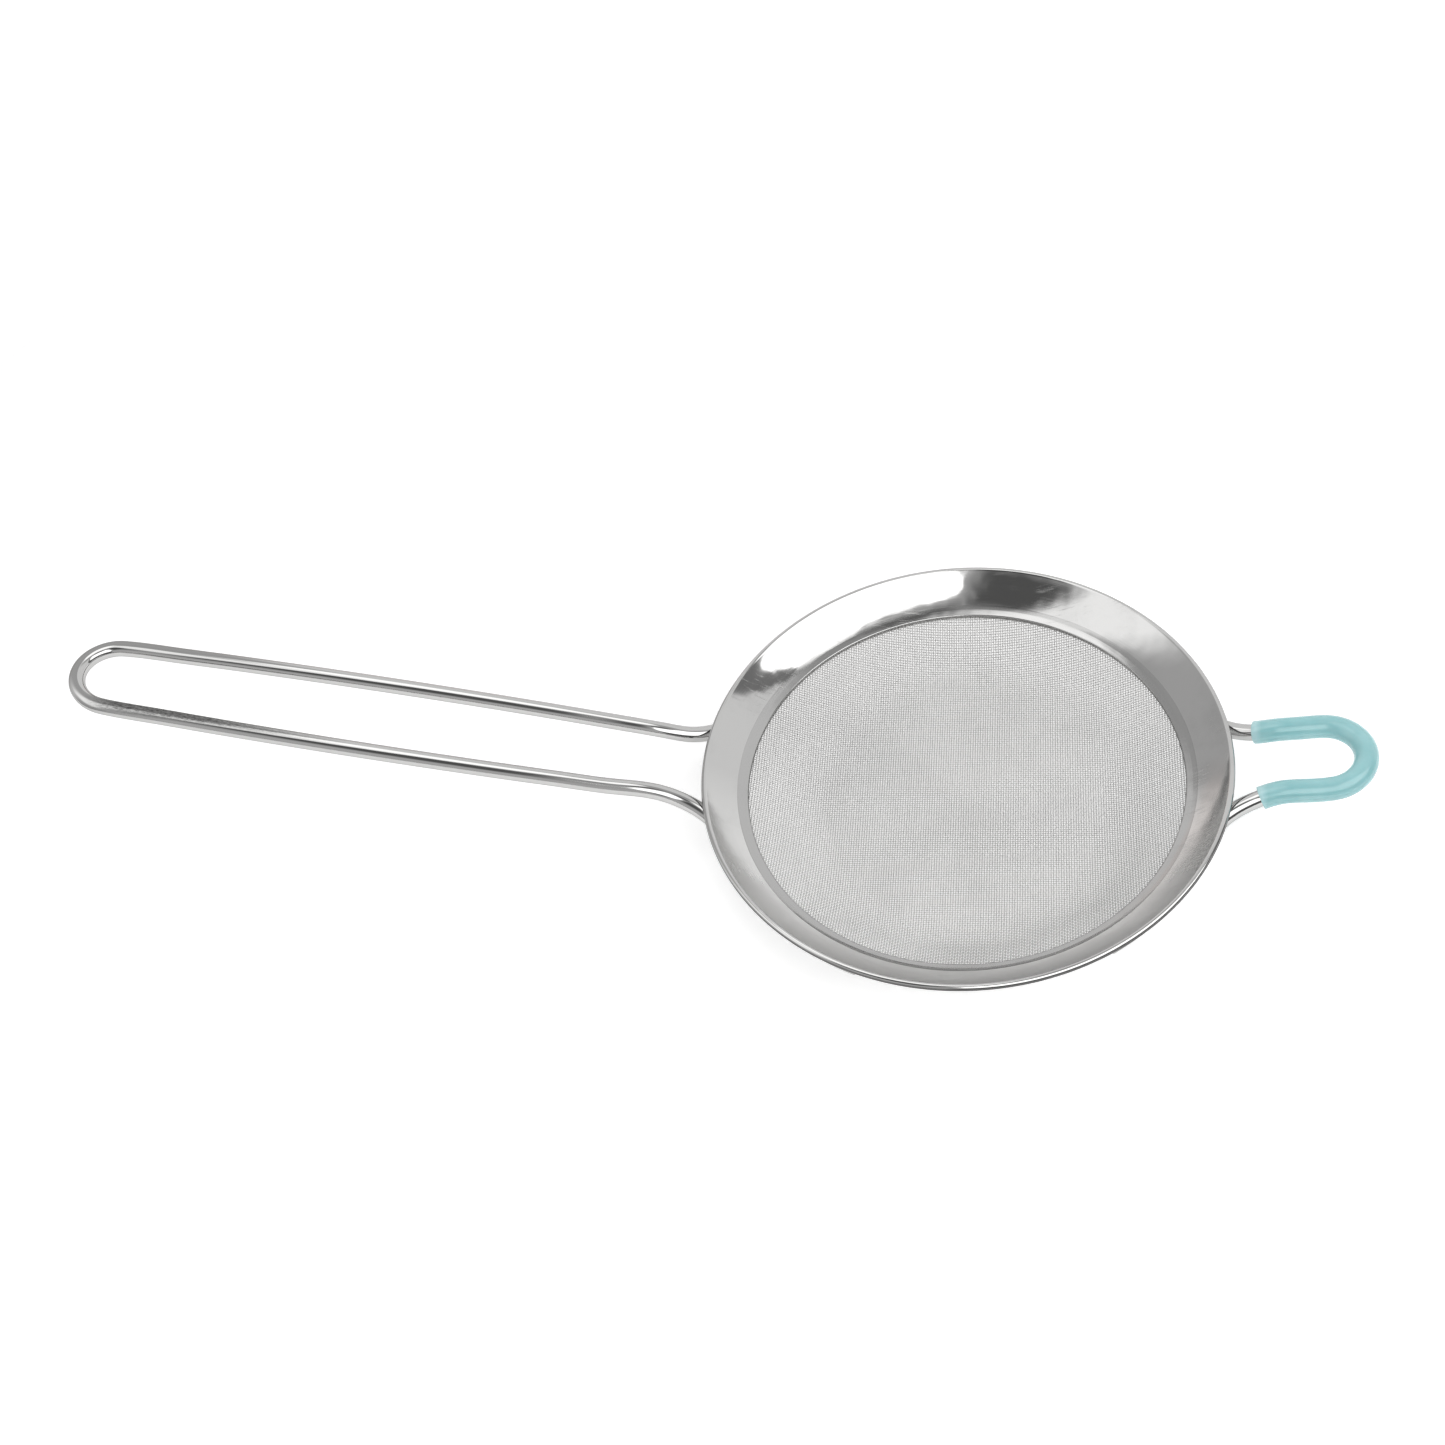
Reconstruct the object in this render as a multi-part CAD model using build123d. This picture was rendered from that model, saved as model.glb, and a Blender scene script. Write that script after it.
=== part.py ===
from build123d import *
import os
from math import asin, cos, hypot, pi, radians, sin, tan

# Tea strainer. Millimetres, +Z up. The origin is the centre of the dish's flat underside, the rim
# lies level, the handle reaches out along -X and the sleeved hook along +X.

# rim
RIM_RADIUS = 51.0          # outside of the curled lip
SHEET = 0.45               # rim sheet
CURL_RADIUS = 0.65         # outside of the curl
CURL_START = 118.0         # degrees round the curl, where the wall runs into it
CURL_END = -165.0          # degrees round the curl, where the sheet ends
WALL_FOOT_RADIUS = 43.95   # inner end of the wall
WALL_FOOT_DROP = 4.70      # its depth below the centre of the curl
WALL_SAG = 0.30            # how far the wall bows below its chord
BACK_SHARE = 0.94          # share of the wall's length at which its back meets the curl's inside
HEEL_REACH = 0.30          # how far the rounded step's heel stands outside the wall's foot
STEP_LEAN = 0.05           # inward lean of the step below the wall's foot
FACE_STEP = 0.10           # drop from the wall's foot to the clamp ring's outer edge

# seat, cloth and clamp ring share one slope at the edge
EDGE_SLOPE = 30.0          # degrees
RING_OUTER = 43.80
RING_INNER = 42.40
RING_SHEET = 0.40          # thickness of the ring at its outer edge
RING_FACE_SLOPE = 24.0     # degrees, flatter than the cloth under it
RING_NOSE = 0.36           # radius of the ring's rounded inner edge
SEAT_INNER = 42.80
LAYER_GAP = 0.01           # between the ring, the cloth and the seat

# woven cloth, as one thin skin
CLOTH_THICKNESS = 0.36
CLOTH_OUTER = 43.70
SLOPE_END_RADIUS = 36.50   # where the sloping wall of the dish starts to round over
SHOULDER_RADIUS = 20.0     # round between the slope and the flat bottom

# rods
ROD_RADIUS = 1.60
WELD_FILM = 0.02           # gap between a tail and the rim
TAIL_UP_WALL = 2.3         # distance of the tails up the wall from its foot
ROOT_START = 59.0          # distance from the axis at which the legs start to flare
EARLY_DROP = 0.80          # how much sooner than evenly a leg falls to its tail's height

# handle loop
HANDLE_TIP = 172.9         # centre line of the rod at the far end
HANDLE_END_HALF = 7.55     # half the spacing of the legs, at the loop end
HANDLE_MID_HALF = 8.47     # at mid length
HANDLE_ROOT_HALF = 7.70    # at the rim
HANDLE_SLOPE = 15.1        # degrees that the loop rises away from the rim
HANDLE_DROP = 2.04         # depth of its line below the lip's centre, at the rim's radius
HANDLE_TAIL_END = 68.0     # degrees round the rim to the end of a tail

# hook
HOOK_TIP = 74.4            # centre line of the rod at the far end
HOOK_HALF = 7.34           # half the spacing of the legs
HOOK_SLOPE = 6.3           # degrees that the hook rises away from the rim
HOOK_DROP = 1.95           # depth of its line below the lip's centre, at the rim's radius
HOOK_TAIL_END = 55.0       # degrees round the rim to the end of a tail

# sleeve on the hook
SLEEVE_RADIUS = 2.20
SLEEVE_BORE = 1.70
SLEEVE_HALF = 23.9         # length from the middle of the hook's round end to each cut end
BORE_OVERRUN = 0.5         # how far the bore's cutting tube runs past each cut end

END_STEPS = 5              # points round half of a loop's round end
BEND_STEPS = 5             # points round the bend from a leg into its tail
TAIL_STEPS = 6             # points along a tail
LEG_STEP = 9.0             # spacing of the points that guide a leg's line
LEAST_TURN = 10.0          # degrees round the rim at which a tail may begin
MOST_TURN = 40.0
TURN_STEP = 0.1
PIECE_LENGTH = 42.0        # a rod is built in lengths of about this
PIECE_SECTIONS = 16        # circles that each length is built through


def at(radius, height):
    """A point of the half section, with height measured from the centre of the lip's curl."""
    return (radius, 0, height + LIP_HEIGHT)


def turned(outline):
    """The solid swept by a closed half section about the Z axis."""
    return revolve(make_face(outline), Axis.Z, 360)


def seat_height(radius, depth):
    """Height on the sloping edge, depth below a plane through the clamp ring's outer corner."""
    fall = (RING_OUTER - radius) * tan(radians(EDGE_SLOPE))
    return -WALL_FOOT_DROP - FACE_STEP - fall - depth


VERTICAL = 1 / cos(radians(EDGE_SLOPE))          # vertical thickness of a sloping sheet
RING_DEPTH = RING_SHEET * VERTICAL
CLOTH_TOP = RING_DEPTH + LAYER_GAP
CLOTH_FOOT = CLOTH_TOP + CLOTH_THICKNESS * VERTICAL
SEAT_TOP = CLOTH_FOOT + LAYER_GAP
SEAT_FOOT = SEAT_TOP + SHEET * VERTICAL

# Height of the curl's centre: the flat bottom's underside lies at zero.
CLOTH_MIDDLE = (CLOTH_TOP + CLOTH_FOOT) / 2
BOTTOM_FALL = SHOULDER_RADIUS * (1 - cos(radians(EDGE_SLOPE)))
LIP_HEIGHT = CLOTH_THICKNESS / 2 + BOTTOM_FALL - seat_height(SLOPE_END_RADIUS, CLOTH_MIDDLE)

# The wall is an arc through its foot, its bowed middle and the point where the curl starts.
CURL_CENTRE = (RIM_RADIUS - CURL_RADIUS, 0.0)
WALL_TOP = (
    CURL_CENTRE[0] + CURL_RADIUS * cos(radians(CURL_START)),
    CURL_CENTRE[1] + CURL_RADIUS * sin(radians(CURL_START)),
)
WALL_FOOT = (WALL_FOOT_RADIUS, -WALL_FOOT_DROP)
CHORD = hypot(WALL_TOP[0] - WALL_FOOT[0], WALL_TOP[1] - WALL_FOOT[1])
ALONG = ((WALL_TOP[0] - WALL_FOOT[0]) / CHORD, (WALL_TOP[1] - WALL_FOOT[1]) / CHORD)
WALL_BEND = (CHORD**2 / 4 + WALL_SAG**2) / (2 * WALL_SAG)      # radius of the wall's arc
WALL_CENTRE = (
    (WALL_TOP[0] + WALL_FOOT[0]) / 2 - ALONG[1] * (WALL_BEND - WALL_SAG),
    (WALL_TOP[1] + WALL_FOOT[1]) / 2 + ALONG[0] * (WALL_BEND - WALL_SAG),
)


def wall_point(up, depth):
    """Radius and height, up the wall from its foot along the arc and depth outward from its face."""
    start = asin(CHORD / 2 / WALL_BEND)
    lean = up / WALL_BEND - start
    reach = WALL_BEND + depth
    down = (ALONG[1], -ALONG[0])
    return (
        WALL_CENTRE[0] + reach * (cos(lean) * down[0] + sin(lean) * ALONG[0]),
        WALL_CENTRE[1] + reach * (cos(lean) * down[1] + sin(lean) * ALONG[1]),
    )


def on_curl(degrees, radius):
    """A point round the lip's curl."""
    turn = radians(degrees)
    return at(CURL_CENTRE[0] + radius * cos(turn), CURL_CENTRE[1] + radius * sin(turn))


def rim_flange():
    wall_length = 2 * WALL_BEND * asin(CHORD / 2 / WALL_BEND)
    hollow = CURL_RADIUS - SHEET
    step_radius = WALL_FOOT_RADIUS - STEP_LEAN
    heel_radius = WALL_FOOT_RADIUS + HEEL_REACH
    face_foot = at(*wall_point(0, 0))
    face_mid = at(*wall_point(wall_length / 2, 0))
    face_top = on_curl(CURL_START, CURL_RADIUS)
    back_top = at(*wall_point(wall_length * BACK_SHARE, SHEET))
    back_mid = at(*wall_point(wall_length / 2, SHEET))
    back_foot = at(*wall_point(0, SHEET))
    mid_turn = (CURL_START + CURL_END) / 2
    step_foot = at(step_radius, seat_height(step_radius, SEAT_TOP))
    seat_tip = at(SEAT_INNER, seat_height(SEAT_INNER, SEAT_TOP))
    seat_under = at(SEAT_INNER, seat_height(SEAT_INNER, SEAT_FOOT))
    heel = at(heel_radius, seat_height(heel_radius, SEAT_FOOT))
    outline = [
        ThreePointArc(face_foot, face_mid, face_top),
        ThreePointArc(face_top, on_curl(mid_turn, CURL_RADIUS), on_curl(CURL_END, CURL_RADIUS)),
        Line(on_curl(CURL_END, CURL_RADIUS), on_curl(CURL_END, hollow)),
        ThreePointArc(
            on_curl(CURL_END, hollow), on_curl(mid_turn, hollow), on_curl(CURL_START, hollow)
        ),
        Line(on_curl(CURL_START, hollow), back_top),
        ThreePointArc(back_top, back_mid, back_foot),
        Line(back_foot, heel),
        Line(heel, seat_under),
        Line(seat_under, seat_tip),
        Line(seat_tip, step_foot),
        Line(step_foot, face_foot),
    ]
    return turned(outline)


def clamp_ring():
    face = radians(RING_FACE_SLOPE)
    nose_radius = RING_INNER + RING_NOSE
    face_radius = nose_radius - RING_NOSE * sin(face)
    face_height = seat_height(RING_OUTER, 0) - (RING_OUTER - face_radius) * tan(face)
    nose_height = face_height - RING_NOSE * cos(face)
    nose_turn = (3 * pi / 2 + face) / 2
    outer_top = at(RING_OUTER, seat_height(RING_OUTER, 0))
    outer_foot = at(RING_OUTER, seat_height(RING_OUTER, RING_DEPTH))
    inner_foot = at(RING_INNER, seat_height(RING_INNER, RING_DEPTH))
    nose_side = at(RING_INNER, nose_height)
    nose_middle = at(
        nose_radius + RING_NOSE * cos(nose_turn), nose_height + RING_NOSE * sin(nose_turn)
    )
    nose_top = at(face_radius, face_height)
    outline = [
        Line(outer_foot, outer_top),
        Line(outer_top, nose_top),
        ThreePointArc(nose_top, nose_middle, nose_side),
        Line(nose_side, inner_foot),
        Line(inner_foot, outer_foot),
    ]
    return turned(outline)


def mesh_dish():
    slope = radians(EDGE_SLOPE)
    half = CLOTH_THICKNESS / 2

    def side(offset):
        """Outer edge, slope end, shoulder middle, flat's edge and axis, offset up the normal."""
        lift = offset / cos(slope)
        turn_r = SLOPE_END_RADIUS - SHOULDER_RADIUS * sin(slope)
        turn_z = seat_height(SLOPE_END_RADIUS, CLOTH_MIDDLE) + SHOULDER_RADIUS * cos(slope)
        reach = SHOULDER_RADIUS - offset
        return [
            at(CLOTH_OUTER, seat_height(CLOTH_OUTER, CLOTH_MIDDLE) + lift),
            at(turn_r + reach * sin(slope), turn_z - reach * cos(slope)),
            at(turn_r + reach * sin(slope / 2), turn_z - reach * cos(slope / 2)),
            at(turn_r, turn_z - reach),
            at(0, turn_z - reach),
        ]

    top = side(half)
    foot = side(-half)
    outline = [
        Line(top[0], top[1]),
        ThreePointArc(top[1], top[2], top[3]),
        Line(top[3], top[4]),
        Line(top[4], foot[4]),
        Line(foot[4], foot[3]),
        ThreePointArc(foot[3], foot[2], foot[1]),
        Line(foot[1], foot[0]),
        Line(foot[0], top[0]),
    ]
    return turned(outline)


TAIL = wall_point(TAIL_UP_WALL, SHEET + ROD_RADIUS + WELD_FILM)


def root_bend(half):
    """Start distance, radius and turn of the bend that takes a leg into its tail round the rim."""
    best = None
    for step in range(round((MOST_TURN - LEAST_TURN) / TURN_STEP)):
        turn = radians(LEAST_TURN + step * TURN_STEP)
        bend = (TAIL[0] * sin(turn) - half) / (1 - sin(turn))
        start = (TAIL[0] + bend) * cos(turn)
        if best is None or abs(start - ROOT_START) < abs(best[0] - ROOT_START):
            best = (start, bend, turn)
    return best


def half_loop(tip, end_half, mid_half, root_half, slope, drop, tail_end):
    """Points of half a loop's centre line, from the middle of its round end to its tail's end.

    The loop points along +X here, and this half is on the +Y side.
    """
    rise = tan(radians(slope))

    def height(x):
        return -drop + rise * (x - RIM_RADIUS)

    points = []
    round_centre = tip - end_half
    for step in range(END_STEPS + 1):
        turn = pi / 2 * step / END_STEPS
        x = round_centre + end_half * cos(turn)
        points.append((x, end_half * sin(turn), height(x)))
    start, bend, turn_in = root_bend(root_half)
    leg_steps = max(2, round((round_centre - start) / LEG_STEP))
    for step in range(1, leg_steps + 1):
        share = step / leg_steps
        x = round_centre + (start - round_centre) * share
        half = (
            end_half * (1 - share) * (1 - 2 * share)
            + 4 * mid_half * share * (1 - share)
            + root_half * share * (2 * share - 1)
        )
        points.append((x, half, height(x)))
    start_height = height(start)
    full_turn = pi / 2 - turn_in
    for step in range(1, BEND_STEPS + 1):
        share = step / BEND_STEPS
        heading = full_turn * share
        x = start - bend * sin(heading)
        y = root_half + bend * (1 - cos(heading))
        ease = share * (1 + EARLY_DROP * (1 - share))
        points.append((x, y, start_height + (TAIL[1] - start_height) * ease))
    for step in range(1, TAIL_STEPS + 1):
        turn = turn_in + (radians(tail_end) - turn_in) * step / TAIL_STEPS
        points.append((TAIL[0] * cos(turn), TAIL[0] * sin(turn), TAIL[1]))
    return points


def centre_line(points, direction):
    """The whole loop's centre line: both mirrored halves, reaching along +X or -X."""
    near = [(x * direction, -y, z + LIP_HEIGHT) for x, y, z in reversed(points)]
    far = [(x * direction, y, z + LIP_HEIGHT) for x, y, z in points[1:]]
    return Spline(*near, *far)


def tube(path, radius, start=0.0, end=1.0):
    """A round tube along a stretch of a line, in lengths lofted through circles square to it."""
    pieces = max(1, round(path.length * (end - start) / PIECE_LENGTH))
    lengths = []
    for piece in range(pieces):
        sections = []
        for step in range(PIECE_SECTIONS + 1):
            share = (piece + step / PIECE_SECTIONS) / pieces
            place = start + (end - start) * share
            heading = path % place
            side = Vector(0, 0, 1).cross(heading)
            sections.append(Plane(origin=path @ place, x_dir=side, z_dir=heading) * Circle(radius))
        lengths.append(loft(sections))
    return lengths[0].fuse(*lengths[1:]) if pieces > 1 else lengths[0]


HANDLE_POINTS = half_loop(
    HANDLE_TIP, HANDLE_END_HALF, HANDLE_MID_HALF, HANDLE_ROOT_HALF, HANDLE_SLOPE, HANDLE_DROP,
    HANDLE_TAIL_END,
)
HOOK_POINTS = half_loop(
    HOOK_TIP, HOOK_HALF, HOOK_HALF, HOOK_HALF, HOOK_SLOPE, HOOK_DROP, HOOK_TAIL_END
)
HANDLE_LINE = centre_line(HANDLE_POINTS, -1)
HOOK_LINE = centre_line(HOOK_POINTS, 1)


def hook_sleeve():
    """A tube over the U of the hook, square-cut at both ends."""
    start = 0.5 - SLEEVE_HALF / HOOK_LINE.length
    end = 0.5 + SLEEVE_HALF / HOOK_LINE.length
    outside = tube(HOOK_LINE, SLEEVE_RADIUS, start, end)
    overrun = BORE_OVERRUN / HOOK_LINE.length
    return outside - tube(HOOK_LINE, SLEEVE_BORE, start - overrun, end + overrun)


os.makedirs("parts", exist_ok=True)
NODES = {
    "rim_flange": rim_flange(),
    "mesh_dish": mesh_dish(),
    "clamp_ring": clamp_ring(),
    "handle_wire": tube(HANDLE_LINE, ROD_RADIUS),
    "hook_wire": tube(HOOK_LINE, ROD_RADIUS),
    "hook_sleeve": hook_sleeve(),
}
for name, solid in NODES.items():
    export_step(solid, "parts/" + name + ".step")
    box = solid.bounding_box()
    print(name, round(solid.volume, 2), box.min, box.max)
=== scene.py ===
import math

import bpy
import numpy as np
from mathutils import Matrix, Vector


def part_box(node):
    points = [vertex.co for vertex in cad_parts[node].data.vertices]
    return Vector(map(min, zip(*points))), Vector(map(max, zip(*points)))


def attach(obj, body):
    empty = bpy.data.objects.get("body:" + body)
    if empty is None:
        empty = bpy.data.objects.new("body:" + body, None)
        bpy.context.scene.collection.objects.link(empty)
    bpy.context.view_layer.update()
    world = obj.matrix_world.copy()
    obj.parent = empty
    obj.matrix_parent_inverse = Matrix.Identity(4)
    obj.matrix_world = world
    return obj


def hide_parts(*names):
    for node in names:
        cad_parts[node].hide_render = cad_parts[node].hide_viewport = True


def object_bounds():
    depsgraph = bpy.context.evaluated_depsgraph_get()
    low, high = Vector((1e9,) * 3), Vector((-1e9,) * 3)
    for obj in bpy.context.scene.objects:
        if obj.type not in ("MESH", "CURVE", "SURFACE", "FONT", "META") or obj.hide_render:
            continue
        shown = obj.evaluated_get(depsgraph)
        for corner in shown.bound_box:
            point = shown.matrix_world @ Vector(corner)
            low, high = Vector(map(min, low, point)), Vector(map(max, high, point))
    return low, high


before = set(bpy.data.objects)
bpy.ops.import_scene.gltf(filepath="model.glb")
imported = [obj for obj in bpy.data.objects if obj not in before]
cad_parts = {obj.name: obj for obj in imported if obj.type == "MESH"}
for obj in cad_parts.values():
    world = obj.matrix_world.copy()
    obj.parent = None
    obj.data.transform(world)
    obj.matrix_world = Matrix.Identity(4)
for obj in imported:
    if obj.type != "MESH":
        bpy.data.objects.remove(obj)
CAD_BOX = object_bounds()
MM = 0.001

# ---------------------------------------------------------------- sizes, in millimetres
RIM_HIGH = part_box("rim_flange")[1]
RIM_RADIUS = RIM_HIGH.x / MM
SHEET = 0.45                  # thickness of the pressed rim
CURL_RADIUS = 0.65
CURL_START, CURL_END = 118.0, -165.0   # degrees round the curled lip
LIP_HEIGHT = RIM_HIGH.z / MM - CURL_RADIUS
WALL_FOOT = (43.95, -4.70)    # radius, and height from the lip's centre
WALL_SAG = 0.30               # how far the wall bows from a straight line
EDGE_SLOPE = math.radians(30.0)
RING_OUTER, RING_INNER, RING_SHEET = 43.80, 42.40, 0.40
RING_FACE = math.radians(24.0)
RING_NOSE = 0.36
RING_LAP = 0.62               # how far the ring's thin edge lies up the wall
RING_LIFT = 0.020
SEAT_INNER = 42.80
STEP_DROP = 0.10              # the ring's outer edge sits this far below the wall's foot
HEEL_REACH, STEP_LEAN, BACK_SHARE = 0.30, 0.05, 0.94
LAYER_GAP = 0.01
CLOTH_THICKNESS = 0.36
CLOTH_OUTER = 43.62
SLOPE_END, SHOULDER = 36.50, 20.0     # where the cloth starts to round into its flat bottom
ROD_RADIUS = 1.60
WELD_FILM = 0.02
TAIL_UP_WALL = 2.3
ROOT_START = 59.0             # where a leg starts to flare, from the axis
EARLY_DROP = 0.80             # how much of the fall to the tail comes early in the flare
HANDLE_TIP, HANDLE_END, HANDLE_MID, HANDLE_ROOT = 172.9, 7.55, 8.47, 7.70
HANDLE_SLOPE, HANDLE_DROP, HANDLE_TAIL = 15.1, 2.04, 68.0
HOOK_TIP, HOOK_HALF = 74.4, 7.34
HOOK_SLOPE, HOOK_DROP, HOOK_TAIL = 6.3, 1.95, 55.0
SLEEVE_RADIUS, SLEEVE_BORE, SLEEVE_HALF = 2.20, 1.66, 23.9
PITCH = 0.484                 # spacing of the woven wires
STRAND = CLOTH_THICKNESS / 4  # how far a wire rises and falls as it crosses another
WIRE_FULLNESS = 1.08          # radius of a wire against that rise
WIRE_DRIFT = 0.010

VERTICAL = 1 / math.cos(EDGE_SLOPE)
RING_DEPTH = RING_SHEET * VERTICAL
CLOTH_TOP = RING_DEPTH + LAYER_GAP
CLOTH_FOOT = CLOTH_TOP + CLOTH_THICKNESS * VERTICAL
SEAT_TOP = CLOTH_FOOT + LAYER_GAP
SEAT_FOOT = SEAT_TOP + SHEET * VERTICAL


def seat_height(radius, depth):
    """Height of the sloping edge below the lip's centre, depth below the clamp ring's face."""
    return WALL_FOOT[1] - STEP_DROP - (RING_OUTER - radius) * math.tan(EDGE_SLOPE) - depth


# ---------------------------------------------------------------- wall of the rim
CURL_CENTRE = (RIM_RADIUS - CURL_RADIUS, 0.0)
WALL_TOP = (
    CURL_CENTRE[0] + CURL_RADIUS * math.cos(math.radians(CURL_START)),
    CURL_CENTRE[1] + CURL_RADIUS * math.sin(math.radians(CURL_START)),
)
CHORD = math.hypot(WALL_TOP[0] - WALL_FOOT[0], WALL_TOP[1] - WALL_FOOT[1])
ALONG = ((WALL_TOP[0] - WALL_FOOT[0]) / CHORD, (WALL_TOP[1] - WALL_FOOT[1]) / CHORD)
WALL_BEND = (CHORD**2 / 4 + WALL_SAG**2) / (2 * WALL_SAG)
WALL_CENTRE = (
    (WALL_TOP[0] + WALL_FOOT[0]) / 2 - ALONG[1] * (WALL_BEND - WALL_SAG),
    (WALL_TOP[1] + WALL_FOOT[1]) / 2 + ALONG[0] * (WALL_BEND - WALL_SAG),
)
WALL_HALF_ANGLE = math.asin(CHORD / 2 / WALL_BEND)
WALL_LENGTH = 2 * WALL_BEND * WALL_HALF_ANGLE


def wall_point(up, depth):
    """Radius and height, up the wall along its arc and depth outward from its face."""
    lean = up / WALL_BEND - WALL_HALF_ANGLE
    reach = WALL_BEND + depth
    down = (ALONG[1], -ALONG[0])
    return (
        WALL_CENTRE[0] + reach * (math.cos(lean) * down[0] + math.sin(lean) * ALONG[0]),
        WALL_CENTRE[1] + reach * (math.cos(lean) * down[1] + math.sin(lean) * ALONG[1]),
    )


def curl_point(degrees, radius):
    turn = math.radians(degrees)
    return (CURL_CENTRE[0] + radius * math.cos(turn), CURL_CENTRE[1] + radius * math.sin(turn))


def between(start, end, count):
    return [start + (end - start) * i / count for i in range(count + 1)]


# ---------------------------------------------------------------- mesh builders
def new_object(name, verts, faces, smooth_angle=35.0):
    """A mesh object from points in millimetres."""
    mesh = bpy.data.meshes.new(name)
    mesh.from_pydata((np.asarray(verts, float) * MM).tolist(), [], faces)
    mesh.validate()
    mesh.shade_smooth()
    if smooth_angle:
        mesh.set_sharp_from_angle(angle=math.radians(smooth_angle))
    obj = bpy.data.objects.new(name, mesh)
    bpy.context.scene.collection.objects.link(obj)
    return obj


def lathe(name, section, segments=384, ripple=0.0):
    """Turns a closed half section of (radius, height) about the axis, with a slight ripple."""
    section = np.array(section, float)
    turns = np.arange(segments) * 2 * math.pi / segments
    wave = ripple * (np.sin(3 * turns + 0.6) + 0.6 * np.sin(5 * turns + 2.1))
    radius = section[:, 0][None, :] + wave[:, None]
    verts = np.stack([
        radius * np.cos(turns)[:, None],
        radius * np.sin(turns)[:, None],
        np.broadcast_to(section[:, 1][None, :] + LIP_HEIGHT, radius.shape),
    ], axis=-1).reshape(-1, 3)
    n = len(section)
    faces = []
    for i in range(segments):
        j = (i + 1) % segments
        for k in range(n):
            m = (k + 1) % n
            faces.append((i * n + k, j * n + k, j * n + m, i * n + m))
    return new_object(name, verts, faces)


def smooth_line(points, step):
    """A cubic spline through points, sampled about every step."""
    p = np.array(points, float)
    gaps = np.linalg.norm(np.diff(p, axis=0), axis=1)
    t = np.concatenate([[0], np.cumsum(gaps)])
    n = len(p)
    a = np.zeros((n, n))
    b = np.zeros((n, 3))
    a[0, 0] = a[-1, -1] = 1
    for i in range(1, n - 1):
        a[i, i - 1] = gaps[i - 1]
        a[i, i] = 2 * (gaps[i - 1] + gaps[i])
        a[i, i + 1] = gaps[i]
        b[i] = 6 * ((p[i + 1] - p[i]) / gaps[i] - (p[i] - p[i - 1]) / gaps[i - 1])
    bend = np.linalg.solve(a, b)
    s = np.linspace(0, t[-1], max(2, round(t[-1] / step)) + 1)
    k = np.clip(np.searchsorted(t, s) - 1, 0, n - 2)
    h = gaps[k][:, None]
    u = (s - t[k])[:, None]
    v = h - u
    return (
        bend[k] * v**3 / (6 * h) + bend[k + 1] * u**3 / (6 * h)
        + (p[k] / h - bend[k] * h / 6) * v + (p[k + 1] / h - bend[k + 1] * h / 6) * u
    )


def frames(line):
    """Unit heading, side and up at each point of a line that never runs straight up."""
    heading = np.gradient(line, axis=0)
    heading /= np.linalg.norm(heading, axis=1)[:, None]
    side = np.cross([0, 0, 1.0], heading)
    side /= np.linalg.norm(side, axis=1)[:, None]
    return heading, side, np.cross(heading, side)


def tube(name, line, radius, sides=36, edge=0.35):
    """A closed round rod with rounded ends."""
    heading, side, up = frames(line)
    turns = np.arange(sides) * 2 * math.pi / sides
    rings = []
    cap = between(0, math.pi / 2, 5)
    start = [(line[0] - heading[0] * edge * (math.sin(c) - 1),
              radius - edge * (1 - math.cos(c)), 0) for c in reversed(cap)]
    body = [(q, radius, i) for i, q in enumerate(line)][2:-2]
    end = [(line[-1] + heading[-1] * edge * (math.sin(c) - 1),
            radius - edge * (1 - math.cos(c)), len(line) - 1) for c in cap]
    for centre, r, i in start + body + end:
        rings.append(
            centre + r * (np.cos(turns)[:, None] * side[i] + np.sin(turns)[:, None] * up[i])
        )
    verts = np.concatenate(rings)
    faces = []
    for i in range(len(rings) - 1):
        for k in range(sides):
            m = (k + 1) % sides
            faces.append((i * sides + k, i * sides + m, (i + 1) * sides + m, (i + 1) * sides + k))
    faces.append(tuple(range(sides - 1, -1, -1)))
    faces.append(tuple(range((len(rings) - 1) * sides, len(rings) * sides)))
    return new_object(name, verts, faces)


def pipe(name, line, outer, inner, sides=48, edge=0.16):
    """A hollow sleeve with softly rounded cut ends."""
    heading, side, up = frames(line)
    turns = np.arange(sides) * 2 * math.pi / sides
    circles = []
    last = len(line) - 1
    arc = between(0, math.pi / 2, 4)
    for i in range(2, last - 1):
        circles.append((line[i], outer, i))
    for c in arc:
        circles.append((line[last] + heading[last] * edge * (math.sin(c) - 1),
                        outer - edge * (1 - math.cos(c)), last))
    for i in range(last, -1, -1):
        circles.append((line[i], inner, i))
    for c in reversed(arc):
        circles.append((line[0] - heading[0] * edge * (math.sin(c) - 1),
                        outer - edge * (1 - math.cos(c)), 0))
    verts = np.concatenate([
        q + r * (np.cos(turns)[:, None] * side[i] + np.sin(turns)[:, None] * up[i])
        for q, r, i in circles
    ])
    n = len(circles)
    faces = []
    for i in range(n):
        j = (i + 1) % n
        for k in range(sides):
            m = (k + 1) % sides
            faces.append((i * sides + k, i * sides + m, j * sides + m, j * sides + k))
    return new_object(name, verts, faces, 50.0)


# ---------------------------------------------------------------- rods
TAIL = wall_point(TAIL_UP_WALL, SHEET + ROD_RADIUS + WELD_FILM)


def root_bend(half):
    """Start, radius and turn of the flare that leaves a leg and meets its tail's circle."""
    best = None
    for tenths in range(100, 400):
        turn = math.radians(tenths / 10)
        bend = (TAIL[0] * math.sin(turn) - half) / (1 - math.sin(turn))
        start = (TAIL[0] + bend) * math.cos(turn)
        if best is None or abs(start - ROOT_START) < abs(best[0] - ROOT_START):
            best = (start, bend, turn)
    return best


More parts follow.
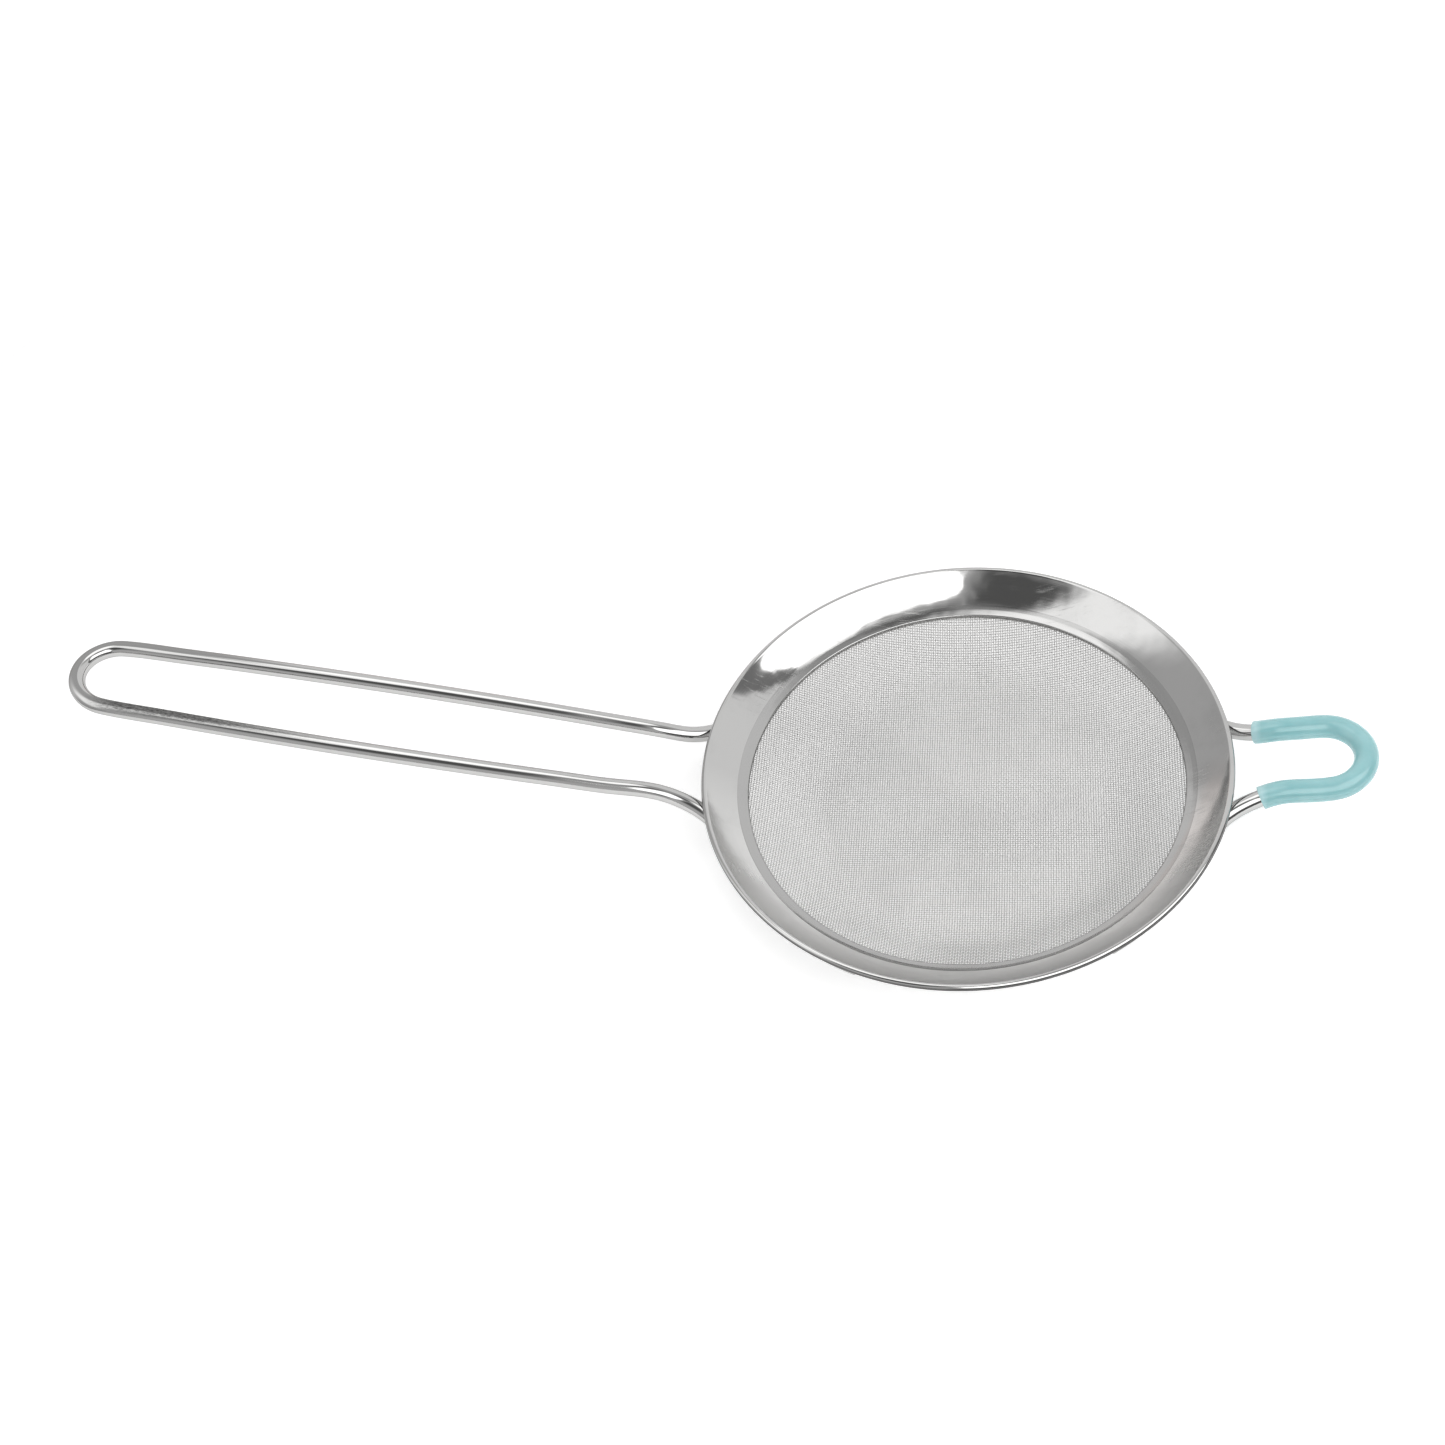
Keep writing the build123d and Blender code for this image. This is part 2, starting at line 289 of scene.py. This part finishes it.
def half_loop(tip, end_half, mid_half, root_half, slope, drop, tail_end):
    """Half a loop's centre line, from the middle of its round end to its tail's end."""
    rise = math.tan(math.radians(slope))

    def height(x):
        return -drop + rise * (x - RIM_RADIUS)

    points = []
    round_centre = tip - end_half
    for step in range(6):
        turn = math.radians(18 * step)
        x = round_centre + end_half * math.cos(turn)
        points.append((x, end_half * math.sin(turn), height(x)))
    start, bend, turn_in = root_bend(root_half)
    leg_steps = max(2, round((round_centre - start) / 9.0))
    for step in range(1, leg_steps + 1):
        share = step / leg_steps
        x = round_centre + (start - round_centre) * share
        half = (
            end_half * (1 - share) * (1 - 2 * share)
            + 4 * mid_half * share * (1 - share)
            + root_half * share * (2 * share - 1)
        )
        points.append((x, half, height(x)))
    full_turn = math.pi / 2 - turn_in
    for step in range(1, 6):
        share = step / 5
        heading = full_turn * share
        ease = share * (1 + EARLY_DROP * (1 - share))
        points.append((
            start - bend * math.sin(heading),
            root_half + bend * (1 - math.cos(heading)),
            height(start) + (TAIL[1] - height(start)) * ease,
        ))
    for step in range(1, 7):
        turn = turn_in + (math.radians(tail_end) - turn_in) * step / 6
        points.append((TAIL[0] * math.cos(turn), TAIL[0] * math.sin(turn), TAIL[1]))
    return points


def whole_loop(points, direction, step):
    """Both halves of a loop as one smooth line, towards +X or -X."""
    near = [(x * direction, -y, z + LIP_HEIGHT) for x, y, z in reversed(points)]
    far = [(x * direction, y, z + LIP_HEIGHT) for x, y, z in points[1:]]
    return smooth_line(near + far, step)


HANDLE_LINE = whole_loop(
    half_loop(HANDLE_TIP, HANDLE_END, HANDLE_MID, HANDLE_ROOT, HANDLE_SLOPE, HANDLE_DROP,
              HANDLE_TAIL), -1, 0.6)
HOOK_LINE = whole_loop(
    half_loop(HOOK_TIP, HOOK_HALF, HOOK_HALF, HOOK_HALF, HOOK_SLOPE, HOOK_DROP, HOOK_TAIL), 1, 0.4)

# ---------------------------------------------------------------- the pieces
rim_section = [wall_point(u, 0) for u in between(0, WALL_LENGTH, 26)]
rim_section += [curl_point(a, CURL_RADIUS) for a in between(CURL_START, CURL_END, 34)[1:]]
rim_section += [curl_point(a, CURL_RADIUS - SHEET) for a in between(CURL_END, CURL_START, 16)]
rim_section += [wall_point(u, SHEET) for u in between(WALL_LENGTH * BACK_SHARE, 0, 12)]
heel = WALL_FOOT[0] + HEEL_REACH
step_foot = WALL_FOOT[0] - STEP_LEAN
rim_section += [
    (heel, seat_height(heel, SEAT_FOOT)),
    (SEAT_INNER, seat_height(SEAT_INNER, SEAT_FOOT)),
    (SEAT_INNER, seat_height(SEAT_INNER, SEAT_TOP)),
    (step_foot, seat_height(step_foot, SEAT_TOP)),
]
rim = lathe("rim", rim_section, ripple=0.02)

NOSE_CENTRE = RING_INNER + RING_NOSE
face_start = NOSE_CENTRE - RING_NOSE * math.sin(RING_FACE)


def face_height(radius):
    """Height of the ring's upper face below the lip's centre."""
    return WALL_FOOT[1] - STEP_DROP - (RING_OUTER - radius) * math.tan(RING_FACE)


nose_height = face_height(face_start) - RING_NOSE * math.cos(RING_FACE)
ring_section = [(RING_INNER, seat_height(RING_INNER, RING_DEPTH))]
for a in between(math.pi, math.pi / 2 + RING_FACE, 10):
    ring_section.append((NOSE_CENTRE + RING_NOSE * math.cos(a),
                         nose_height + RING_NOSE * math.sin(a)))
face_end = (RING_OUTER - 0.22, face_height(RING_OUTER - 0.22))
lap = wall_point(RING_LAP, -RING_LIFT)
bend_start, bend_end = np.array(face_end), np.array(lap)
bend_middle = (bend_start + bend_end) / 2 + np.array([0.010, -0.016])
for t in between(0, 1, 10):
    ring_section.append(tuple(
        bend_start * (1 - t)**2 + bend_middle * 2 * t * (1 - t) + bend_end * t**2))
ring_section += [wall_point(RING_LAP, -RING_LIFT / 2), wall_point(0.05, -RING_LIFT / 2),
                 (RING_OUTER, seat_height(RING_OUTER, RING_DEPTH))]
ring = lathe("mesh_clamp_ring", ring_section, ripple=0.01)

handle = tube("handle_rod", HANDLE_LINE, ROD_RADIUS)
hook = tube("hook_rod", HOOK_LINE, ROD_RADIUS)

lengths = np.concatenate([[0], np.cumsum(np.linalg.norm(np.diff(HOOK_LINE, axis=0), axis=1))])
middle = lengths[-1] / 2
covered = HOOK_LINE[np.abs(lengths - middle) <= SLEEVE_HALF]
sleeve = pipe("hook_sleeve_tube", covered, SLEEVE_RADIUS, SLEEVE_BORE)
SLEEVE_END = covered[0][0]


def cloth_height(radius):
    """Height of the middle of the cloth, and its slope outward, over an array of radii."""
    middle_depth = (CLOTH_TOP + CLOTH_FOOT) / 2
    turn_r = SLOPE_END - SHOULDER * math.sin(EDGE_SLOPE)
    turn_z = seat_height(SLOPE_END, middle_depth) + SHOULDER * math.cos(EDGE_SLOPE)
    out = np.clip((radius - turn_r) / SHOULDER, 0, math.sin(EDGE_SLOPE))
    rounded = turn_z - SHOULDER * np.sqrt(1 - out**2)
    sloped = seat_height(radius, middle_depth)
    height = np.where(radius > SLOPE_END, sloped, rounded)
    slope = np.where(radius > SLOPE_END, math.tan(EDGE_SLOPE), out / np.sqrt(1 - out**2))
    return height + LIP_HEIGHT, slope


def weave():
    """Plain woven cloth: every wire passes over and under the ones that cross it."""
    reach = int(CLOTH_OUTER / PITCH)
    corners = np.array([(1, 0), (0, 1), (-1, 0), (0, -1)], float) * STRAND * WIRE_FULLNESS
    verts, faces, base = [], [], 0
    rng = np.random.default_rng(7)
    drift = rng.normal(0, WIRE_DRIFT, (2, 2 * reach + 1))
    for way in (0, 1):
        for i in range(-reach, reach + 1):
            across = i * PITCH + drift[way, i + reach]
            half = math.sqrt(max(CLOTH_OUTER**2 - across**2, 0))
            count = int(half / PITCH * 2)
            if count < 3:
                continue
            j = np.arange(-count, count + 1)
            along = j * PITCH / 2
            radius = np.hypot(across, along)
            height, slope = cloth_height(radius)
            over = np.where(j % 2 == 0, (1 - 2 * ((i + j // 2 + way) % 2)), 0)
            safe = np.maximum(radius, 1e-6)
            normal = np.stack([-slope * across / safe, -slope * along / safe,
                               np.ones_like(slope)], axis=-1)
            normal /= np.linalg.norm(normal, axis=1)[:, None]
            centre = np.stack([np.full_like(along, across), along, height], axis=-1)
            centre += normal * (over * STRAND)[:, None]
            side = np.tile([1.0, 0.0, 0.0], (len(j), 1))
            side -= normal * np.sum(side * normal, axis=1)[:, None]
            side /= np.linalg.norm(side, axis=1)[:, None]
            ring_points = (
                centre[:, None, :]
                + corners[None, :, 0, None] * side[:, None, :]
                + corners[None, :, 1, None] * normal[:, None, :]
            )
            if way == 1:
                ring_points = ring_points[:, :, [1, 0, 2]]
            n = len(j)
            verts.append(ring_points.reshape(-1, 3))
            k = np.arange(n - 1)[:, None] * 4 + np.arange(4)[None, :]
            m = np.arange(n - 1)[:, None] * 4 + (np.arange(4)[None, :] + 1) % 4
            quad = np.stack([k, m, m + 4, k + 4], axis=-1).reshape(-1, 4) + base
            faces.append(quad if way == 0 else quad[:, ::-1])
            base += n * 4
    verts = np.concatenate(verts) * MM
    faces = np.concatenate(faces).astype(np.int32)
    mesh = bpy.data.meshes.new("woven_dish")
    mesh.vertices.add(len(verts))
    mesh.vertices.foreach_set("co", verts.astype(np.float32).ravel())
    mesh.loops.add(faces.size)
    mesh.loops.foreach_set("vertex_index", faces.ravel())
    mesh.polygons.add(len(faces))
    mesh.polygons.foreach_set("loop_start", np.arange(0, faces.size, 4, dtype=np.int32))
    mesh.update(calc_edges=True)
    mesh.shade_smooth()
    obj = bpy.data.objects.new("woven_dish", mesh)
    bpy.context.scene.collection.objects.link(obj)
    return obj


cloth = weave()


def weld_spots():
    """Low flattened nuggets where the rods' tails are welded to the back of the wall."""
    verts, faces, spots = [], [], []
    for direction, end in ((-1, HANDLE_TAIL), (1, HOOK_TAIL)):
        for mirror in (-1, 1):
            for share in (0.46, 0.70, 0.94):
                spots.append((direction, mirror, math.radians(end * share)))
    rings, sides = 7, 20
    touch = wall_point(TAIL_UP_WALL, SHEET + 0.04)
    for number, (direction, mirror, turn) in enumerate(spots):
        out = np.array([math.cos(turn) * direction, math.sin(turn) * mirror, 0])
        round_way = np.array([-out[1], out[0], 0])
        away = np.array([ALONG[1] * out[0], ALONG[1] * out[1], -ALONG[0]])
        up_wall = np.cross(round_way, away)
        centre = np.array([touch[0] * out[0], touch[0] * out[1], touch[1] + LIP_HEIGHT])
        start = len(verts)
        for a in range(rings):
            lift = math.pi * a / (rings - 1)
            for b in range(sides):
                spin = 2 * math.pi * b / sides
                wobble = 1 + 0.10 * math.sin(3 * spin + number) * math.sin(lift)
                verts.append(
                    centre
                    + round_way * 1.5 * math.sin(lift) * math.cos(spin) * wobble
                    + up_wall * 0.62 * math.sin(lift) * math.sin(spin) * wobble
                    + away * 0.20 * math.cos(lift)
                )
        for a in range(rings - 1):
            for b in range(sides):
                c = (b + 1) % sides
                faces.append((start + a * sides + b, start + a * sides + c,
                              start + (a + 1) * sides + c, start + (a + 1) * sides + b))
    return new_object("weld_spots", verts, faces, None)


welds = weld_spots()


# ---------------------------------------------------------------- materials
ROD_TONE = 0.54


class Tree:
    """Small helper that adds and joins shader nodes."""

    def __init__(self, name):
        self.material = bpy.data.materials.new(name)
        self.material.use_nodes = True
        self.nodes = self.material.node_tree.nodes
        self.links = self.material.node_tree.links
        self.shader = self.nodes["Principled BSDF"]

    def add(self, kind, **values):
        node = self.nodes.new(kind)
        for key, value in values.items():
            setattr(node, key, value)
        return node

    def put(self, socket, value):
        if hasattr(value, "is_output"):
            self.links.new(value, socket)
        else:
            socket.default_value = value

    def maths(self, operation, a, b=0.0, c=0.0):
        node = self.add("ShaderNodeMath", operation=operation)
        for socket, value in zip(node.inputs, (a, b, c)):
            self.put(socket, value)
        return node.outputs[0]

    def noise(self, vector, scale, detail=3.0, rough=0.5):
        node = self.add("ShaderNodeTexNoise")
        self.put(node.inputs["Vector"], vector)
        node.inputs["Scale"].default_value = scale
        node.inputs["Detail"].default_value = detail
        node.inputs["Roughness"].default_value = rough
        return node.outputs["Fac"]

    def band(self, value, low, high, to_low, to_high):
        node = self.add("ShaderNodeMapRange")
        for socket, given in zip(node.inputs[:5], (value, low, high, to_low, to_high)):
            self.put(socket, given)
        return node.outputs[0]

    def mix(self, share, a, b):
        node = self.add("ShaderNodeMix", data_type="RGBA")
        self.put(node.inputs[0], share)
        self.put(node.inputs[6], a)
        self.put(node.inputs[7], b)
        return node.outputs[2]

    def bump(self, height, strength, distance, normal=None):
        node = self.add("ShaderNodeBump")
        self.put(node.inputs["Strength"], strength)
        node.inputs["Distance"].default_value = distance
        self.put(node.inputs["Height"], height)
        if normal is not None:
            self.put(node.inputs["Normal"], normal)
        return node.outputs[0]

    def position(self):
        return self.add("ShaderNodeTexCoord").outputs["Object"]

    def polar(self, along, across):
        """Coordinates that run round the axis: radius and height stretched across, turn along."""
        x, y, z = self.parts()
        radius = self.reach(x, y)
        join = self.add("ShaderNodeCombineXYZ")
        self.put(join.inputs[0], self.maths("MULTIPLY", radius, across))
        self.put(join.inputs[1], self.maths("MULTIPLY", self.maths("ARCTAN2", y, x), along))
        self.put(join.inputs[2], self.maths("MULTIPLY", z, across))
        return join.outputs[0]

    def parts(self):
        """X, Y and Z of the position, as three values."""
        split = self.add("ShaderNodeSeparateXYZ")
        self.put(split.inputs[0], self.position())
        return split.outputs

    def reach(self, x, y):
        """Distance from the axis."""
        return self.maths("SQRT", self.maths("ADD", self.maths("MULTIPLY", x, x),
                                             self.maths("MULTIPLY", y, y)))

    def stretched(self, sx, sy, sz, turn=0.0):
        node = self.add("ShaderNodeMapping")
        self.put(node.inputs["Vector"], self.position())
        node.inputs["Rotation"].default_value = (0.0, 0.0, turn)
        node.inputs["Scale"].default_value = (sx, sy, sz)
        return node.outputs[0]


def grey(value):
    """A slightly warm metal grey."""
    return (value, value * 0.995, value * 0.985, 1.0)


def rim_steel(name, tone, rough, smudge, painted_near_light_and_satin):
    """Polished sheet: turning lines, smudges, fine scratches, a near half made satin and painted
    lighter as painted light, and the outer underside of the lip painted dark as a painted reflection.
    """
    t = Tree(name)
    lines = t.noise(t.polar(1.6, 900.0), 2.2, 4.0, 0.6)
    fine = t.noise(t.polar(9.0, 3000.0), 2.0, 2.0, 0.5)
    patches = t.noise(t.position(), 70.0, 5.0, 0.62)
    clouds = t.noise(t.position(), 210.0, 4.0, 0.6)
    sway = t.noise(t.position(), 105.0, 2.0, 0.5)
    worn = t.band(patches, 0.48, 0.70, 0.0, 1.0)
    film = t.maths("MULTIPLY", worn, t.band(clouds, 0.35, 0.65, 0.2, 1.0))
    x, y, z = t.parts()
    reach = t.reach(x, y)
    # painted light: the near half of the wall, short of the lip, is painted lighter as a painted
    # sheen, and is also made rougher and more satin
    satin_and_painted_light_near = t.maths(
        "MULTIPLY",
        t.band(y, 0.000, -0.034, 0.0, painted_near_light_and_satin),
        t.band(reach, (RIM_RADIUS - 1.15) * MM, (RIM_RADIUS - 0.90) * MM, 1.0, 0.0))
    # the near half's colour is lifted 0.30 lighter here, which is painted light
    steel = t.mix(satin_and_painted_light_near, grey(tone), grey(tone + 0.30))
    # painted reflection: the outer underside of the curled lip is painted near black as a painted
    # dark reflection line, not a dark surface
    painted_dark_lip_reflection = t.maths(
        "MULTIPLY",
        t.band(reach, (RIM_RADIUS - 0.34) * MM, (RIM_RADIUS - 0.22) * MM, 0.0, 1.0),
        t.band(z, (LIP_HEIGHT + 0.42) * MM, (LIP_HEIGHT + 0.28) * MM, 0.0, 1.0))
    steel = t.mix(painted_dark_lip_reflection, steel, grey(0.12))
    scratches = t.noise(t.stretched(90.0, 2600.0, 400.0, 0.62), 1.0, 2.0, 0.6)
    scratched = t.maths("MULTIPLY", t.band(scratches, 0.54, 0.66, 0.0, 1.0), worn)
    t.put(t.shader.inputs["Base Color"], t.mix(
        t.maths("MULTIPLY", film, 0.12 * smudge), steel, grey(0.05)))
    t.shader.inputs["Metallic"].default_value = 1.0
    t.shader.inputs["Specular Tint"].default_value = (0.50, 0.50, 0.50, 1)
    level = t.maths("ADD", t.band(lines, 0.3, 0.7, rough * 0.6, rough * 1.4),
                    t.maths("MULTIPLY", film, 0.05 * smudge))
    level = t.maths("ADD", level, t.maths("MULTIPLY", satin_and_painted_light_near, 0.30))
    level = t.maths("ADD", level, t.maths("MULTIPLY", scratched, 0.22))
    t.put(t.shader.inputs["Roughness"], level)
    t.shader.inputs["Anisotropic"].default_value = 0.2
    tangent = t.add("ShaderNodeTangent", direction_type="RADIAL", axis="Z")
    t.put(t.shader.inputs["Tangent"], tangent.outputs[0])
    normal = t.bump(fine, 0.10, 0.00002)
    normal = t.bump(lines, 0.12, 0.00003, normal)
    normal = t.bump(sway, 1.0, 0.00015, normal)
    t.put(t.shader.inputs["Normal"], normal)
    return t.material


def rod_steel():
    """Drawn rod: fine lines along it, and one stretch near the loop's end darker and rougher in
    spots.
    """
    t = Tree("rod_steel")
    draw = t.noise(t.stretched(60.0, 1600.0, 1600.0), 1.0, 3.0, 0.6)
    spots = t.noise(t.stretched(900.0, 3600.0, 3600.0), 1.0, 3.0, 0.65)
    x, y, _ = t.parts()
    zone = t.maths("MULTIPLY", t.band(x, -0.169, -0.163, 0.0, 1.0),
                   t.band(x, -0.146, -0.118, 1.0, 0.0))
    zone = t.maths("MULTIPLY", zone, t.band(y, -0.005, -0.007, 0.0, 1.0))
    zone = t.maths("MULTIPLY", zone, t.band(y, -0.0092, -0.0085, 0.0, 1.0))
    # one stretch of the near leg, near the loop's end, is coloured darker and made rougher in spots
    dark_rough_stretch = t.maths("MULTIPLY", zone, t.band(spots, 0.34, 0.64, 0.35, 1.0))
    t.put(t.shader.inputs["Base Color"], t.mix(dark_rough_stretch, grey(ROD_TONE), grey(0.13)))
    t.shader.inputs["Metallic"].default_value = 1.0
    t.shader.inputs["Specular Tint"].default_value = (0.62, 0.62, 0.62, 1)
    t.put(t.shader.inputs["Roughness"], t.maths(
        "ADD", t.band(draw, 0.3, 0.7, 0.04, 0.09), t.maths("MULTIPLY", dark_rough_stretch, 0.10)))
    normal = t.bump(draw, 0.06, 0.00003)
    normal = t.bump(spots, t.maths("MULTIPLY", zone, 0.5), 0.000015, normal)
    normal = t.bump(t.noise(t.position(), 90.0, 1.0, 0.4), 1.0, 0.00006, normal)
    t.put(t.shader.inputs["Normal"], normal)
    return t.material


def cloth_steel():
    """Dull drawn wire, a little cloudy from handling."""
    t = Tree("cloth_steel")
    clouds = t.noise(t.position(), 45.0, 4.0, 0.6)
    t.put(t.shader.inputs["Base Color"], t.mix(
        t.band(clouds, 0.40, 0.65, 0.0, 1.0), grey(0.63), grey(0.57)))
    t.shader.inputs["Metallic"].default_value = 1.0
    t.put(t.shader.inputs["Roughness"], t.band(clouds, 0.3, 0.7, 0.34, 0.48))
    return t.material


def aqua_rubber():
    """Soft glossy tube, cloudy inside and paler at its cut ends."""
    t = Tree("aqua_sleeve")
    clouds = t.noise(t.position(), 240.0, 3.0, 0.55)
    grain = t.noise(t.position(), 2600.0, 2.0, 0.5)
    paler_ends = t.band(t.parts()[0], SLEEVE_END * MM, (SLEEVE_END + 1.1) * MM, 0.75, 0.0)
    body = t.mix(t.band(clouds, 0.3, 0.7, 0.0, 1.0),
                 (0.245, 0.490, 0.512, 1), (0.300, 0.548, 0.568, 1))
    t.put(t.shader.inputs["Base Color"], t.mix(paler_ends, body, (0.46, 0.67, 0.69, 1)))
    t.put(t.shader.inputs["Roughness"], t.band(grain, 0.3, 0.7, 0.09, 0.17))
    t.shader.inputs["IOR"].default_value = 1.62
    t.shader.inputs["Subsurface Weight"].default_value = 0.30
    t.shader.inputs["Subsurface Radius"].default_value = (0.6, 1.0, 1.0)
    t.shader.inputs["Subsurface Scale"].default_value = 0.0010
    t.put(t.shader.inputs["Normal"], t.bump(grain, 0.08, 0.00003))
    return t.material


STEEL = rim_steel("polished_steel", 0.55, 0.055, 1.0, 1.0)
RING_STEEL = rim_steel("ring_steel", 0.46, 0.12, 0.6, 0.0)
ROD = rod_steel()
CLOTH = cloth_steel()
AQUA = aqua_rubber()

for obj, material, node, slot in (
    (rim, STEEL, "rim_flange", "polished_steel"),
    (ring, RING_STEEL, "clamp_ring", "polished_steel"),
    (cloth, CLOTH, "mesh_dish", "wire_cloth"),
    (handle, ROD, "handle_wire", "rod_steel"),
    (hook, ROD, "hook_wire", "rod_steel"),
    (sleeve, AQUA, "hook_sleeve", "aqua_sleeve"),
    (welds, ROD, None, "rod_steel"),
):
    obj.data.materials.append(material)
    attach(obj, "root")
    if node:
        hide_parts(node)

# ---------------------------------------------------------------- studio
FLOOR_RADIUS = 4.0
TENT_RADIUS = 0.32            # a small shooting tent; the camera looks in through its wall


def step_up(value, low, high):
    t = min(max((value - low) / (high - low), 0.0), 1.0)
    return t * t * (3 - 2 * t)


def window(turn, tilt, left, turned, low, high, soft, corner):
    """1 inside a rounded patch of the tent's wall given in degrees, falling to 0 at its edge."""
    away = abs((turn - left - turned / 2 + 180) % 360 - 180) - turned / 2 + corner
    over = abs(tilt - (low + high) / 2) - (high - low) / 2 + corner
    reach = math.hypot(max(away, 0), max(over, 0)) + min(max(away, over), 0) - corner
    return 1 - step_up(reach, -soft, soft)


# first turn, degrees turned, low tilt, high tilt, softness, corner, glow; later ones lie on top
PANELS = (
    (14, 116, -12, 60, 6, 2, 0.98),      # broad pale wall at the back
    (131, 42, -12, 46, 6, 2, 0.56),
    (172, 16, -12, 50, 6, 2, 0.80),
    (-142, 50, -12, 30, 5, 2, 0.62),
    (-180, 36, 22, 76, 7, 4, 1.45),      # side lamp beyond the handle
    (-141, 40, 40, 74, 6, 6, 0.13),      # dark card beside the soft box
    (-94, 108, -12, 27, 2, 1, 0.14),     # dark opening below the soft box
    (4, 15, 18, 60, 1.5, 3, 0.26),       # dark card on its other side
    (-93, 103, 68, 90, 5, 1, 0.20),      # shade above it
    (-93, 101, 29, 72, 6.0, 11, 0.80),   # the soft box's faint spread
    (-93, 101, 29, 68, 1.2, 11, 2.40),   # the soft box
)
TOP_PATCH = (140, 75, 15)     # turn, tilt and half angle of the round lamp overhead
TOP_GLOW = 1.90
BASE_GLOW = 0.52
WARM_PATCH = (108, 27, -12, 18, 5, 5)
WARMTH = (0.050, 0.070)       # how much green and blue the warm patch takes away
FLOOR_GLOW = 0.44
SKY_GLOW = 1.05


def glow_at(turn, tilt):
    """Colour and strength of the tent's light in one direction."""
    value = BASE_GLOW
    for *patch, soft, corner, glow in PANELS:
        value += (glow - value) * window(turn, tilt, *patch, soft, corner)
    turned, tilted = math.radians(turn - TOP_PATCH[0]), math.radians(tilt)
    lamp = math.radians(TOP_PATCH[1])
    apart = math.degrees(math.acos(min(1.0, math.sin(tilted) * math.sin(lamp)
                                       + math.cos(tilted) * math.cos(lamp) * math.cos(turned))))
    value += (TOP_GLOW - value) * (1 - step_up(apart, TOP_PATCH[2] - 4, TOP_PATCH[2] + 4))
    warm = window(turn, tilt, *WARM_PATCH)
    return (value, value * (1 - WARMTH[0] * warm), value * (1 - WARMTH[1] * warm), 1.0)


def tent():
    """A pale light tent: its wall glows more where the soft boxes stand behind it."""
    columns, rows = 360, 120
    verts, faces, glows = [], [], []
    for row in range(rows + 1):
        tilt = 90.0 * row / rows
        for column in range(columns):
            turn = -180 + 360 * column / columns
            a, b = math.radians(turn), math.radians(tilt)
            verts.append((TENT_RADIUS * math.cos(a) * math.cos(b),
                          TENT_RADIUS * math.sin(a) * math.cos(b),
                          TENT_RADIUS * math.sin(b)))
            glows.append(glow_at(turn, tilt))
    for row in range(rows):
        for column in range(columns):
            after = (column + 1) % columns
            faces.append((row * columns + after, row * columns + column,
                          (row + 1) * columns + column, (row + 1) * columns + after))
    mesh = bpy.data.meshes.new("light_tent")
    mesh.from_pydata(verts, [], faces)
    mesh.shade_smooth()
    layer = mesh.attributes.new("glow", "FLOAT_COLOR", "POINT")
    layer.data.foreach_set("color", np.array(glows, np.float32).ravel())
    obj = bpy.data.objects.new("light_tent", mesh)
    bpy.context.scene.collection.objects.link(obj)
    material = bpy.data.materials.new("tent_cloth")
    material.use_nodes = True
    nodes, links = material.node_tree.nodes, material.node_tree.links
    nodes.clear()
    out = nodes.new("ShaderNodeOutputMaterial")
    light = nodes.new("ShaderNodeEmission")
    held = nodes.new("ShaderNodeAttribute")
    held.attribute_name = "glow"
    links.new(held.outputs["Color"], light.inputs["Color"])
    links.new(light.outputs[0], out.inputs["Surface"])
    mesh.materials.append(material)
    obj.visible_camera = False
    return obj


def floor():
    """A pale plain floor, lit a little from below as on a shooting table."""
    count = 96
    verts = [(0.0, 0.0, 0.0)]
    for i in range(count):
        turn = 2 * math.pi * i / count
        verts.append((FLOOR_RADIUS * math.cos(turn), FLOOR_RADIUS * math.sin(turn), 0.0))
    faces = [(0, i + 1, (i + 1) % count + 1) for i in range(count)]
    mesh = bpy.data.meshes.new("floor")
    mesh.from_pydata(verts, [], faces)
    obj = bpy.data.objects.new("floor", mesh)
    obj.location.z = CAD_BOX[0].z - 0.0002
    bpy.context.scene.collection.objects.link(obj)
    t = Tree("pale_floor")
    t.shader.inputs["Base Color"].default_value = (0.80, 0.80, 0.80, 1)
    t.shader.inputs["Roughness"].default_value = 0.9
    t.shader.inputs["Specular IOR Level"].default_value = 0.1
    t.shader.inputs["Emission Color"].default_value = (1, 1, 1, 1)
    t.shader.inputs["Emission Strength"].default_value = FLOOR_GLOW
    mesh.materials.append(t.material)
    return obj


tent()
floor()

world = bpy.data.worlds.new("studio")
world.use_nodes = True
world.node_tree.nodes["Background"].inputs["Color"].default_value = (1, 1, 1, 1)
world.node_tree.nodes["Background"].inputs["Strength"].default_value = SKY_GLOW
bpy.context.scene.world = world
bpy.context.scene.view_settings.view_transform = "Standard"

# ---------------------------------------------------------------- camera
FRAME_WIDTH = 1445
FOCAL = 1712.9                # in the picture's own dots
CAMERA_FROM_RIM = Vector((19.66, -203.27, 265.28)) * MM
CAMERA_TURN, CAMERA_TILT, CAMERA_ROLL = 17.653, 49.863, -14.348

turn, tilt, roll = (math.radians(v) for v in (CAMERA_TURN, CAMERA_TILT, CAMERA_ROLL))
back = Vector((math.sin(turn) * math.cos(tilt), -math.cos(turn) * math.cos(tilt), math.sin(tilt)))
level = Vector((math.cos(turn), math.sin(turn), 0.0))
upright = back.cross(level)
right = level * math.cos(roll) + upright * math.sin(roll)
above = upright * math.cos(roll) - level * math.sin(roll)
camera = bpy.data.objects.new("camera", bpy.data.cameras.new("camera"))
camera.data.sensor_width = 36.0
camera.data.lens = 36.0 * FOCAL / FRAME_WIDTH
camera.data.clip_start = 0.01
camera.data.clip_end = 20.0
aimed = Matrix((right, above, back)).transposed().to_4x4()
camera.matrix_world = Matrix.Translation(
    Vector((0, 0, LIP_HEIGHT * MM)) + CAMERA_FROM_RIM) @ aimed
bpy.context.scene.collection.objects.link(camera)
bpy.context.scene.camera = camera

bpy.context.view_layer.update()
